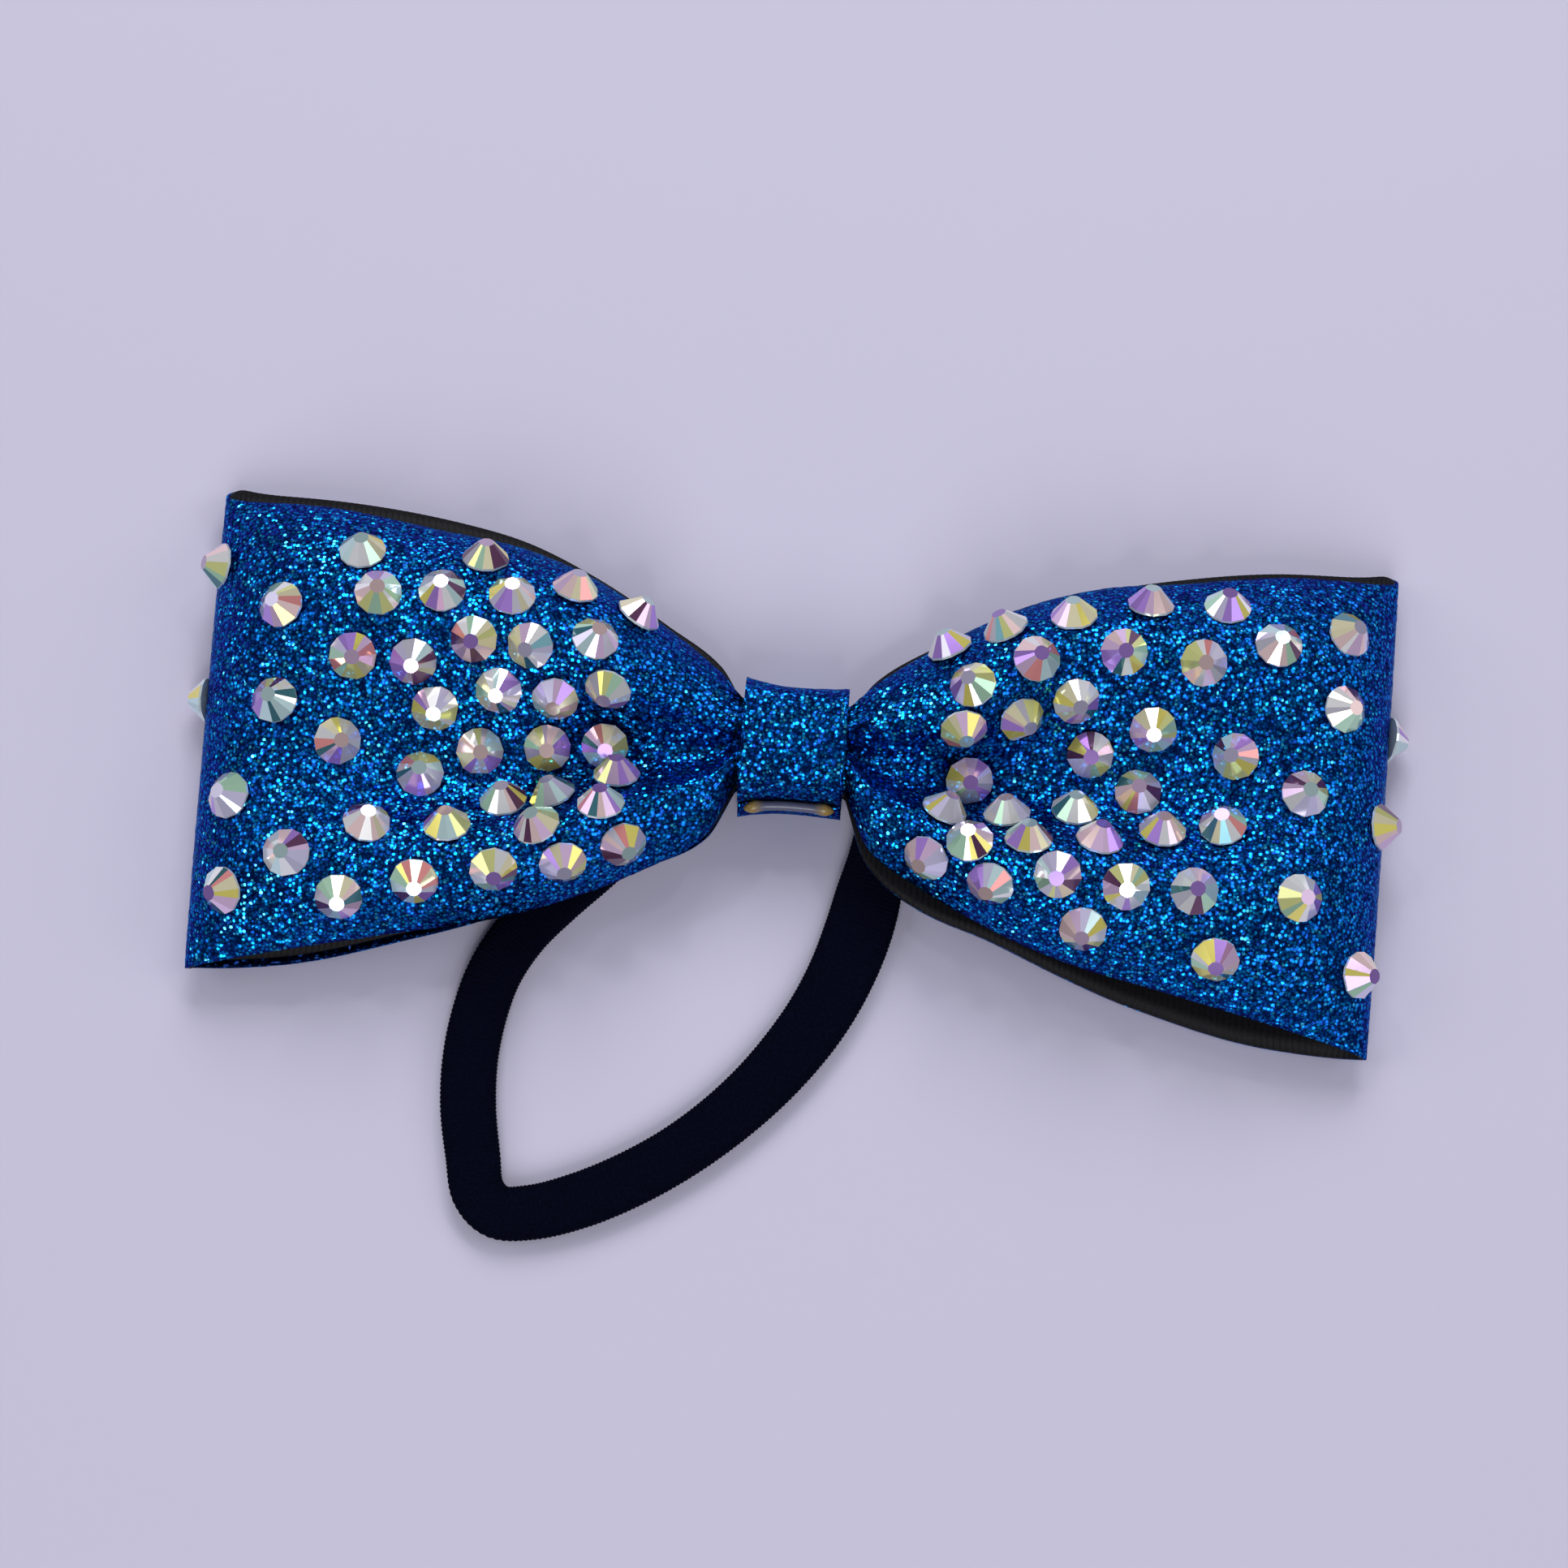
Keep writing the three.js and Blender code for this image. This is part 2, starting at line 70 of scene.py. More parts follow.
# How deep the valley in the front is, at these distances from the knot
VALLEY_AT = [8.2, 14, 20, 28, 44, 58, 66, 76, 88]
VALLEY_DEPTH = [4, 5.2, 7.4, 11.2, 11.2, 9, 6.5, 2.5, 0]
LOWER_WALL_POWER = 1.25  # above 1 the valley stays deep further out on its lower side
LEFT = dict(
    sign=-1, valley=(-0.06, -0.19), wall=0.54, curl_low=4, curl_high=1,
    back_high=[8, 13.6, 19.2, 26.9, 32.8, 35.7, 37.6, 38],
    back_low=[-5.3, -13, -17.8, -23.4, -27.4, -31.2, -35.4, -37.9],
)
RIGHT = dict(
    sign=1, valley=(-0.1, -0.02), wall=0.56, curl_low=0.5, curl_high=2.5,
    back_high=[8, 13.2, 19, 26.2, 30.9, 34, 36.9, 37.6],
    back_low=[-5.3, -15, -21.3, -25.2, -29.5, -33.3, -37, -38.4],
)
RIBBON_WIDTH = 76
FACE_THICK = 0.5
LINING_THICK = 0.45
GLITTER_GRID = 0.62  # between the points of its mesh
GLITTER_RELIEF = 0.05  # a point lies up to this far above or below the surface
LINING_LIP = 1.2  # how far the lining stops short of the left loop's lower edge, behind
LINING_COLUMNS = 30
RIB_PITCH = 0.97
RIB_HEIGHT = 0.1
FLAKE_SIZE = 0.5
FLAKE_TILT = 0.8  # 0 leaves every flake level

# Centre band
BAND_WIDTH = 15.6
BAND_THICK = 0.7
BAND_STEPS = 110
BAND_COLUMNS = 27
# The outer line of its Y-Z section, from one cut end round to the other
BAND_LINE = [
    (-7.8, 8.6), (-8.6, 5.2), (-7.6, 1.9), (-4.2, 0.4), (3, 0.4), (7, 1.4), (8.8, 5), (9.3, 9), (9.2, 12.6),
    (7.2, 15.7), (3, 16.8), (-2.6, 16.8), (-5.7, 15.6), (-7.3, 13.2), (-7.8, 10.9),
]
BAND_FLARE = (0.12, 0.04)  # how much wider the knot is at the band's left and right edges
BEAD_LENGTH = 13.6
BEAD_RADIUS = 0.95
BEAD_AT = (-8.5, 9.7)
BEAD_STEPS = 60
BEAD_SIDES = 20
BLOB_AT = 5.4  # the bead swells at this distance to each side of its middle
BLOB_WIDTH = 1.1

# Hair elastic
STRAP_WIDTH = 8.4
STRAP_THICK = 3.6
TUNNEL_DIAMETER = 4.6  # of the elastic inside the band
STRAP_POWER = 0.62  # below 1 the strap's section is squarer than an ellipse
KNIT_RIBS = 300  # about 0.64 mm apart
RINGS_PER_RIB = 4
KNIT_DEPTH = 0.14
ELASTIC_SIDES = 40
# x, y, z, width: from the right mouth of the band, round the loop on the table, to the left mouth
ELASTIC_ROUTE = [
    (6.3, 0.6, 3.7, 4.6), (9, 0.5, 3.7, 4.6), (12, -2, 3.5, 5.4), (13.6, -7, 2.9, 6.8),
    (13.7, -13, 2.2, 8.6), (13, -18.5, 1.85, 10), (11.8, -24.5, 1.85, 10.4), (9.8, -31, 1.85, 10.2),
    (6.9, -37.5, 1.85, 9.9), (3, -43.8, 1.85, 9.5), (-1.7, -49.8, 1.85, 9), (-7.2, -55.4, 1.85, 8.6),
    (-13, -60.2, 1.85, 8.4), (-19.4, -64.4, 1.85, 8.4), (-26.5, -68, 1.85, 8.4), (-33.4, -70.3, 1.85, 8.2),
    (-38.6, -70.6, 1.85, 8), (-41.6, -68, 1.85, 8), (-43, -62.5, 1.85, 8.2), (-44.4, -55.5, 1.85, 8.4),
    (-44.8, -48, 1.85, 8.4), (-44, -40.8, 1.85, 8.4), (-42.3, -34.6, 1.85, 8.4), (-39, -28.6, 1.85, 8.4),
    (-34.5, -23.4, 1.85, 8.2), (-29, -18, 1.9, 7.8), (-22.5, -11.8, 2.3, 6.8), (-16.5, -5.6, 2.9, 5.6),
    (-12, -1, 3.5, 4.8), (-9, 0.5, 3.7, 4.6), (-6.3, 0.6, 3.7, 4.6),
]

# Rhinestones: x, y on the front of a loop, or (turn in degrees round the end fold, y)
STONE_DIAMETER = 7.1
STONE_TABLE = 2.3
STONE_GIRDLE = 0.35
STONE_HEIGHT = 3.0
STONE_FACETS = 13
FACET_WIDTHS = (0.55, 1.45)  # the narrowest and the widest, where 1 is even
STONE_SEAT = 0.05  # above the highest part of the ribbon under it
STONE_LEAN = 0.05  # in radians, about how far a stone tips each way
LEFT_STONES = [
    (-67, 25), (-48.5, 25.5), (-78, 15.5), (-63.5, 18), (-54, 19), (-43.5, 19), (-34.5, 21.5), (-25, 19),
    (-66.5, 8.5), (-57.5, 8.5), (-48.5, 12), (-40, 11.5), (-30.5, 13), (-77.5, 1), (-54, 2.5),
    (-44.5, 5.5), (-36, 5), (-28, 6.5), (-68, -4), (-47, -3), (-55.5, -7.5), (-37, -1.5), (-28.5, 0),
    (-26, -6), (-42.5, -11), (-35, -10), (-27.5, -11.5), (-36.5, -15.5), (-83, -13.5), (-62, -16.5),
    (-50, -16), (-24, -16.5), (-73, -22), (-32.5, -20), (-42.5, -22), (-54, -24.5), (-65, -27.5),
    (-82.5, -27.5),
]
LEFT_FOLD_STONES = [(71, 23.5), (95, 3.5)]
RIGHT_STONES = [
    (22.5, 17.5), (30.5, 20.5), (40.5, 23), (52, 26), (63.5, 26.5), (71, 20.5), (82, 24), (26, 10.5),
    (35, 15), (48, 17.5), (60, 17), (33.5, 7), (41.5, 10.5), (53.5, 7.5), (81.5, 12), (66, 4), (25, 4.5),
    (26.5, -1.5), (44.5, 3.5), (52, -2), (76, -1.5), (23, -8), (32.5, -7.5), (42.5, -6), (27, -13),
    (35.5, -12), (46, -11), (55.5, -8.5), (64.5, -7), (21, -15), (30.5, -18.5), (40, -17), (50, -18),
    (60, -18), (75.5, -17.5), (44.5, -24), (64, -27),
]
RIGHT_FOLD_STONES = [(60, -27), (71, -4), (96, 11)]

rng = np.random.default_rng(7)


# ---- The ribbon's surface ----

def smooth(t):
    t = np.clip(t, 0, 1)
    return t * t * (3 - 2 * t)


def mix(a, b, t):
    return a + (b - a) * t


def curve(at, values, d):
    """A smooth curve through values given at the distances in at."""
    at, values = np.asarray(at, float), np.asarray(values, float)
    after = np.minimum(np.arange(len(at)) + 1, len(at) - 1)
    before = np.maximum(np.arange(len(at)) - 1, 0)
    slope = (values[after] - values[before]) / (at[after] - at[before])
    d = np.clip(d, at[0], at[-1])
    i = np.clip(np.searchsorted(at, d, side="right") - 1, 0, len(at) - 2)
    h = at[i + 1] - at[i]
    t = (d - at[i]) / h
    start = (1 + 2 * t) * (1 - t) ** 2 * values[i] + t * (1 - t) ** 2 * h * slope[i]
    return start + t * t * (3 - 2 * t) * values[i + 1] + t * t * (t - 1) * h * slope[i + 1]


def across(high, low, d, v):
    """y on the front or the back, v of the way from the middle of the ribbon to its edge."""
    top, bottom = curve(EDGE_AT, high, d), curve(EDGE_AT, low, d)
    return (top + bottom) / 2 + v * (top - bottom) / 2


def quarter(start, d):
    """Falls from 1 to 0 as a quarter of an ellipse between a distance and the end of the loop."""
    return np.sqrt(np.maximum(1 - (np.maximum(d - start, 0) / (LOOP_END - start)) ** 2, 0))


def front_z(loop, d, v):
    """The front face: a crown that falls to the two edges, with a valley that runs out of the knot."""
    out = smooth((d - 10) / 16)
    crown = PINCH_TOP + (FRONT_TOP - PINCH_TOP) * smooth((d - PINCH) / 26)
    crown = crown + (END_TOP - FRONT_TOP) * smooth((d - 40) / 26)
    edge = mix(PINCH_EDGE, EDGE_TOP, smooth((d - PINCH) / 15))
    from_floor = v - mix(0.02, mix(*loop["valley"], smooth((d - 26) / 16)), out)
    upper_wall = mix(0.42, 0.75, smooth((d - 20) / 24))
    t = np.abs(from_floor) / np.where(from_floor > 0, upper_wall, mix(0.4, loop["wall"], out))
    t = np.clip(t, 0, 1)
    t = np.where(from_floor > 0, t, t ** LOWER_WALL_POWER)
    valley = curve(VALLEY_AT, VALLEY_DEPTH, d) * (1 - smooth(t))
    z = edge + (crown - edge) * (1 - v ** 4) - valley
    return FOLD_Z + (z - FOLD_Z) * quarter(FOLD_FROM, d)


def back_z(loop, d, v):
    """The back face: flat on the table, lifted towards the knot, with its long edges curled up."""
    curl = np.where(v < 0, loop["curl_low"], loop["curl_high"]) * smooth((np.abs(v) - 0.5) / 0.5)
    rise = PINCH_BOTTOM * smooth((54 - d) / 40) + FOLD_Z * (1 - quarter(FOLD_TO, d))
    return rise + curl * smooth((FOLD_TO - d) / 30) * smooth((d - 20) / 25)


def lean(d, v):
    return END_LEAN * v * smooth((d - 20) / 60)


def reach(s):
    """How far from the knot: s is 0 to 1 on the front, 1 to 2 round the fold and 2 to 3 on the back."""
    turned = mix(np.where(s < 1.5, FOLD_FROM, FOLD_TO), LOOP_END, np.sin(np.pi * np.clip(s - 1, 0, 1)))
    return np.where(s < 1, FOLD_FROM * s, np.where(s < 2, turned, FOLD_TO * (3 - s)))


def fold_y(loop, s, d, v):
    front = across(FRONT_HIGH, FRONT_LOW, d, v)
    return mix(front, across(loop["back_high"], loop["back_low"], d, v), smooth((s - 1.25) / 0.5))


def loop_point(loop, s, v):
    """Points on the outside of a loop. v is -1 at the lower edge of the ribbon and 1 at the upper."""
    s, v = np.broadcast_arrays(np.asarray(s, float), np.asarray(v, float))
    d = reach(s)
    z = np.where(s < 1.5, front_z(loop, d, v), back_z(loop, d, v))
    return np.stack([loop["sign"] * (d + lean(d, v)), fold_y(loop, s, d, v), z], -1)


def loop_normal(loop, s, v):
    e = 1e-3
    along = loop_point(loop, np.minimum(s + e, 3), v) - loop_point(loop, np.maximum(s - e, 0), v)
    sideways = loop_point(loop, s, np.minimum(v + e, 1)) - loop_point(loop, s, np.maximum(v - e, -1))
    n = np.cross(along, sideways) * loop["sign"]
    return n / np.linalg.norm(n, axis=-1, keepdims=True)


def loop_stations(loop, step):
    """Values of s from the knot, out along the front, round the fold and back, evenly step mm apart."""
    fine = np.linspace(0, 3 - STRIP_END / FOLD_TO, 2000)
    line = loop_point(loop, fine, -0.55)
    length = np.concatenate([[0], np.cumsum(np.linalg.norm(np.diff(line, axis=0), axis=1))])
    count = int(round(length[-1] / step))
    return np.interp(np.linspace(0, length[-1], count + 1), length, fine)


def strip_grid(step, columns, lip=0):
    """Points and normals over the whole strip, from its end behind the knot round both loops to the other.
    It stops lip short of the lower edge on the back of the left loop."""
    share = np.linspace(0, 1, columns + 1)[None, :]
    points, normals = [], []
    for loop in (LEFT, RIGHT):
        s = loop_stations(loop, step)[:, None]
        v = 2 * share - 1
        if loop is LEFT:
            s = s[::-1][:-1]
            v = mix(2 * lip / RIBBON_WIDTH * smooth((s - 1.5) / 0.4) - 1, 1, share)
        points.append(loop_point(loop, s, v))
        normals.append(loop_normal(loop, s, v))
    return np.concatenate(points), np.concatenate(normals)


# ---- Mesh helpers ----

def mesh_object(name, points, faces):
    mesh = bpy.data.meshes.new(name)
    mesh.from_pydata([tuple(p) for p in np.asarray(points) * MM], [], faces)
    mesh.update()
    mesh.shade_smooth()
    obj = bpy.data.objects.new(name, mesh)
    bpy.context.scene.collection.objects.link(obj)
    return obj


def slab(name, outer, inner):
    """A closed sheet between two grids of points with the same rows and columns. Its faces on the inner
    grid are marked, so that a material can tell them."""
    rows, columns = outer.shape[:2]
    points = np.concatenate([outer.reshape(-1, 3), inner.reshape(-1, 3)])
    faces = []

    def at(side, i, j):
        return side * rows * columns + i * columns + j

    for i in range(rows - 1):
        for j in range(columns - 1):
            faces.append((at(0, i, j), at(0, i + 1, j), at(0, i + 1, j + 1), at(0, i, j + 1)))
            faces.append((at(1, i, j), at(1, i, j + 1), at(1, i + 1, j + 1), at(1, i + 1, j)))
        last = columns - 1
        faces.append((at(0, i, 0), at(1, i, 0), at(1, i + 1, 0), at(0, i + 1, 0)))
        faces.append((at(0, i, last), at(0, i + 1, last), at(1, i + 1, last), at(1, i, last)))
    for j in range(columns - 1):
        end = rows - 1
        faces.append((at(0, 0, j), at(0, 0, j + 1), at(1, 0, j + 1), at(1, 0, j)))
        faces.append((at(0, end, j), at(1, end, j), at(1, end, j + 1), at(0, end, j + 1)))
    obj = mesh_object(name, points, faces)
    inside = (np.array(faces).min(1) >= rows * columns).astype(np.float32)
    obj.data.attributes.new("inside", "FLOAT", "FACE").data.foreach_set("value", inside)
    return obj


def tube(name, rings):
    """A closed cord skinned over rings of points, with a fan at each end."""
    count, sides = rings.shape[:2]
    centres = rings.mean(axis=1)
    points = np.concatenate([rings.reshape(-1, 3), centres[[0, -1]]])
    faces = []
    for i in range(count - 1):
        for j in range(sides):
            k = (j + 1) % sides
            faces.append((i * sides + j, i * sides + k, (i + 1) * sides + k, (i + 1) * sides + j))
    first, last = count * sides, count * sides + 1
    for j in range(sides):
        k = (j + 1) % sides
        faces.append((first, k, j))
        faces.append((last, (count - 1) * sides + j, (count - 1) * sides + k))
    return mesh_object(name, points, faces)


def between(u, start, end, a, b):
    """a where u is start, b where it is end, and in proportion between and beyond."""
    return (end - u) / (end - start) * a + (u - start) / (end - start) * b


def spline(points, count):
    """A smooth curve through points (centripetal Catmull-Rom), as count + 1 points evenly spaced, and its
    length."""
    p = np.asarray(points, float)
    p = np.concatenate([[2 * p[0] - p[1]], p, [2 * p[-1] - p[-2]]])
    gaps = np.linalg.norm(np.diff(p[:, :3], axis=0), axis=1) ** 0.5
    t = np.concatenate([[0], np.cumsum(gaps)])
    out = []
    for i in range(1, len(p) - 2):
        u = np.linspace(t[i], t[i + 1], 40, endpoint=False)[:, None]
        a1 = between(u, t[i - 1], t[i], p[i - 1], p[i])
        a2 = between(u, t[i], t[i + 1], p[i], p[i + 1])
        a3 = between(u, t[i + 1], t[i + 2], p[i + 1], p[i + 2])
        b1 = between(u, t[i - 1], t[i + 1], a1, a2)
        b2 = between(u, t[i], t[i + 2], a2, a3)
        out.append(between(u, t[i], t[i + 1], b1, b2))
    out = np.concatenate(out + [p[-2:-1]])
    length = np.concatenate([[0], np.cumsum(np.linalg.norm(np.diff(out[:, :3], axis=0), axis=1))])
    even = np.linspace(0, length[-1], count + 1)
    return np.stack([np.interp(even, length, out[:, k]) for k in range(out.shape[1])], -1), length[-1]


# ---- Materials ----

class Nodes:
    """Short names for building a material's nodes."""

    def __init__(self, name):
        self.material = bpy.data.materials.new(name)
        self.material.use_nodes = True
        self.tree = self.material.node_tree
        self.shader = self.tree.nodes["Principled BSDF"]

    def add(self, kind, **settings):
        node = self.tree.nodes.new(kind)
        for key, value in settings.items():
            setattr(node, key, value)
        return node

    def link(self, source, target):
        self.tree.links.new(source, target)

    def math(self, operation, a, b=None):
        node = self.add("ShaderNodeMath", operation=operation)
        self._plug(a, node.inputs[0])
        if b is not None:
            self._plug(b, node.inputs[1])
        return node.outputs[0]

    def vector(self, operation, a, b=None, scale=None):
        node = self.add("ShaderNodeVectorMath", operation=operation)
        self._plug(a, node.inputs[0])
        if b is not None:
            self._plug(b, node.inputs[1])
        if scale is not None:
            node.inputs["Scale"].default_value = scale
        return node.outputs[0]

    def ramp(self, factor, stops):
        node = self.add("ShaderNodeValToRGB")
        elements = node.color_ramp.elements
        while len(elements) < len(stops):
            elements.new(0.5)
        for element, (position, colour) in zip(elements, stops):
            element.position = position
            element.color = (*colour, 1)
        self.link(factor, node.inputs[0])
        return node.outputs[0]

    def position(self):
        return self.add("ShaderNodeTexCoord").outputs["Object"]

    def _plug(self, value, socket):
        if hasattr(value, "links"):
            self.link(value, socket)
        else:
            socket.default_value = value


def glitter_material():
    """Blue flakes, each at its own tilt under clear resin, on a cloth whose other side is dark navy."""
    n = Nodes("blue_glitter")
    cells = n.add("ShaderNodeTexVoronoi", feature="F1")
    cells.inputs["Scale"].default_value = 1 / (FLAKE_SIZE * MM)
    n.link(n.position(), cells.inputs["Vector"])
    chance = n.add("ShaderNodeSeparateColor")
    n.link(cells.outputs["Color"], chance.inputs[0])
    flake = n.ramp(chance.outputs[0], [
        (0.0, (0.0005, 0.05, 0.28)), (0.3, (0.001, 0.11, 0.46)), (0.65, (0.002, 0.23, 0.7)),
        (0.9, (0.004, 0.41, 0.88)), (1.0, (0.1, 0.72, 1.0)),
    ])
    gap = n.ramp(cells.outputs["Distance"], [(0.42, (0, 0, 0)), (0.56, (1, 1, 1))])
    colour = n.add("ShaderNodeMix", data_type="RGBA")
    n.link(gap, colour.inputs["Factor"])
    n.link(flake, colour.inputs["A"])
    colour.inputs["B"].default_value = (0.0, 0.022, 0.15, 1)
    backing = n.add("ShaderNodeMix", data_type="RGBA")
    inside = n.add("ShaderNodeAttribute", attribute_name="inside")
    n.link(inside.outputs["Fac"], backing.inputs["Factor"])
    n.link(colour.outputs["Result"], backing.inputs["A"])
    backing.inputs["B"].default_value = (0.0, 0.006, 0.04, 1)
    n.link(backing.outputs["Result"], n.shader.inputs["Base Color"])
    tilt = n.vector("SUBTRACT", cells.outputs["Color"], (0.5, 0.5, 0.5))
    tilt = n.vector("SCALE", tilt, scale=FLAKE_TILT)
    normal = n.add("ShaderNodeNewGeometry").outputs["Normal"]
    tilted = n.vector("NORMALIZE", n.vector("ADD", normal, tilt))
    n.link(tilted, n.shader.inputs["Normal"])
    n.link(tilted, n.shader.inputs["Coat Normal"])
    n.shader.inputs["Metallic"].default_value = 0.95
    n.shader.inputs["Roughness"].default_value = 0.2
    n.shader.inputs["Specular Tint"].default_value = (0.02, 0.35, 0.8, 1)
    n.shader.inputs["Coat Weight"].default_value = 0.05
    n.shader.inputs["Coat Roughness"].default_value = 0.15
    return n.material


def cloth_material(name, grain, detail, colours, bump_strength, bump_height, roughness, specular):
    """Matt cloth, finely uneven in colour and surface. The grain and the bump height are in mm."""
    n = Nodes(name)
    noise = n.add("ShaderNodeTexNoise")
    noise.inputs["Scale"].default_value = 1 / (grain * MM)
    noise.inputs["Detail"].default_value = detail
    n.link(n.position(), noise.inputs["Vector"])
    n.link(n.ramp(noise.outputs[0], list(zip((0.3, 0.8), colours))), n.shader.inputs["Base Color"])
    bump = n.add("ShaderNodeBump")
    bump.inputs["Strength"].default_value = bump_strength
    bump.inputs["Distance"].default_value = bump_height * MM
    n.link(noise.outputs[0], bump.inputs["Height"])
    n.link(bump.outputs[0], n.shader.inputs["Normal"])
    n.shader.inputs["Roughness"].default_value = roughness
    n.shader.inputs["Specular IOR Level"].default_value = specular
    return n.material


def grosgrain_material():
    colours = ((0.002, 0.0015, 0.003), (0.006, 0.005, 0.008))
    return cloth_material("black_grosgrain", grain=0.35, detail=2, colours=colours, bump_strength=0.5,
                          bump_height=0.1, roughness=0.6, specular=0.2)


def knit_material():
    colours = ((0.0003, 0.0006, 0.004), (0.0015, 0.0028, 0.012))
    return cloth_material("black_knit", grain=0.4, detail=4, colours=colours, bump_strength=0.6,
                          bump_height=0.12, roughness=0.9, specular=0.04)


def crystal_material():
    """Foil-backed crystal with an aurora coating: each facet has its own tint."""
    n = Nodes("aurora_crystal")
    tint = n.add("ShaderNodeAttribute", attribute_name="tint")
    n.link(tint.outputs["Color"], n.shader.inputs["Base Color"])
    n.shader.inputs["Metallic"].default_value = 0.45
    n.shader.inputs["Roughness"].default_value = 0.1
    n.shader.inputs["Coat Weight"].default_value = 0.5
    n.shader.inputs["Coat Roughness"].default_value = 0.03
    return n.material


def glue_material():
    """Clear glue over dark cloth, with amber ends."""
    n = Nodes("clear_glue")
    place = n.add("ShaderNodeSeparateXYZ")
    n.link(n.position(), place.inputs[0])
    from_middle = n.math("ABSOLUTE", place.outputs[0])
    along = n.math("MULTIPLY", from_middle, 1 / (BEAD_LENGTH / 2 * MM))
    colour = n.ramp(along, [
        (0.55, (0.13, 0.14, 0.22)), (0.8, (0.42, 0.28, 0.07)), (1.0, (0.3, 0.2, 0.06)),
    ])
    n.link(colour, n.shader.inputs["Base Color"])
    n.shader.inputs["Roughness"].default_value = 0.3
    n.shader.inputs["Transmission Weight"].default_value = 0.25
    return n.material


def plain_material(name, colour, roughness):
    n = Nodes(name)
    noise = n.add("ShaderNodeTexNoise")
    noise.inputs["Scale"].default_value = 900
    n.link(n.position(), noise.inputs["Vector"])
    dark = tuple(c * 0.8 for c in colour)
    n.link(n.ramp(noise.outputs[0], [(0.3, dark), (0.7, colour)]), n.shader.inputs["Base Color"])
    n.shader.inputs["Roughness"].default_value = roughness
    return n.material


# ---- Pieces ----

def add_elastic(material):
    """The knitted cord: round in the band, a flat strap with rounded edges on the table, ribbed across."""
    line, length = spline(ELASTIC_ROUTE, KNIT_RIBS * RINGS_PER_RIB)
    centre, width = line[:, :3], line[:, 3]
    tangent = np.gradient(centre, axis=0)
    tangent /= np.linalg.norm(tangent, axis=1, keepdims=True)
    side = np.cross([0, 0, 1], tangent)
    side /= np.linalg.norm(side, axis=1, keepdims=True)
    top = np.cross(tangent, side)
    spread = smooth((width - TUNNEL_DIAMETER) / (STRAP_WIDTH - TUNNEL_DIAMETER))
    thick = mix(TUNNEL_DIAMETER, STRAP_THICK, spread)
    rib = KNIT_DEPTH * np.abs(np.sin(np.pi * np.arange(len(line)) / RINGS_PER_RIB)) - KNIT_DEPTH
    angle = 2 * np.pi * (np.arange(ELASTIC_SIDES) + 0.5) / ELASTIC_SIDES
    power = mix(1.0, STRAP_POWER, spread)[:, None]
    sideways = np.sign(np.cos(angle)) * np.abs(np.cos(angle)) ** power
    up = np.sign(np.sin(angle)) * np.abs(np.sin(angle)) ** power
    sideways = sideways * (width / 2 + rib)[:, None]
    up = up * (thick / 2 + rib)[:, None]
    rings = centre[:, None] + sideways[..., None] * side[:, None] + up[..., None] * top[:, None]
    obj = tube("hair_elastic", rings)
    obj.data.materials.append(material)
    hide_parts("elastic_cover")
    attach(obj, "elastic")


def add_ribbon(glitter, grosgrain):
    """The glitter face, and inside it the lining with its cross ribs."""
    points, normals = strip_grid(GLITTER_GRID, int(RIBBON_WIDTH / GLITTER_GRID))
    relief = rng.uniform(-GLITTER_RELIEF, GLITTER_RELIEF, points.shape[:2])[..., None]
    face = slab("glitter_ribbon", points + normals * relief, points - normals * FACE_THICK)
    points, normals = strip_grid(RIB_PITCH / 4, LINING_COLUMNS, LINING_LIP)
    row = np.arange(len(points))
    rib = (row % 4 == 2) * RIB_HEIGHT + (row % 2 == 1) * RIB_HEIGHT * 0.7
    outer = points - normals * FACE_THICK
    inner = points - normals * (FACE_THICK + LINING_THICK + rib[:, None, None])
    lining = slab("grosgrain_lining", outer, inner)
    for obj, material, node, slot in ((face, glitter, "ribbon_glitter_face", "glitter"),
                                      (lining, grosgrain, "ribbon_grosgrain_lining", "grosgrain")):
        obj.data.materials.append(material)
        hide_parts(node)
        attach(obj, "bow")


def flared(x, y):
    """y of a place on the knot, which is wider at the band's two edges."""
    u = x / (BAND_WIDTH / 2)
    return KNOT_Y + y * (1 + np.where(u < 0, *BAND_FLARE) * u * u)


def add_band(glitter):
    line, length = spline([(0, y, z) for y, z in BAND_LINE], BAND_STEPS)
    tangent = np.gradient(line, axis=0)
    tangent /= np.linalg.norm(tangent, axis=1, keepdims=True)
    outward = np.cross(tangent, [1, 0, 0])[:, None]
    x = np.linspace(-BAND_WIDTH / 2, BAND_WIDTH / 2, BAND_COLUMNS)
    grid = line[:, None] + x[None, :, None] * np.array([1, 0, 0])
    relief = rng.uniform(-GLITTER_RELIEF, GLITTER_RELIEF, grid.shape[:2])[..., None]
    sides = [grid + outward * relief, grid - outward * BAND_THICK]
    for side in sides:
        side[..., 1] = flared(side[..., 0], side[..., 1])
    band = slab("band", *sides)
    band.data.materials.append(glitter)
    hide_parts("centre_band")
    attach(band, "bow")


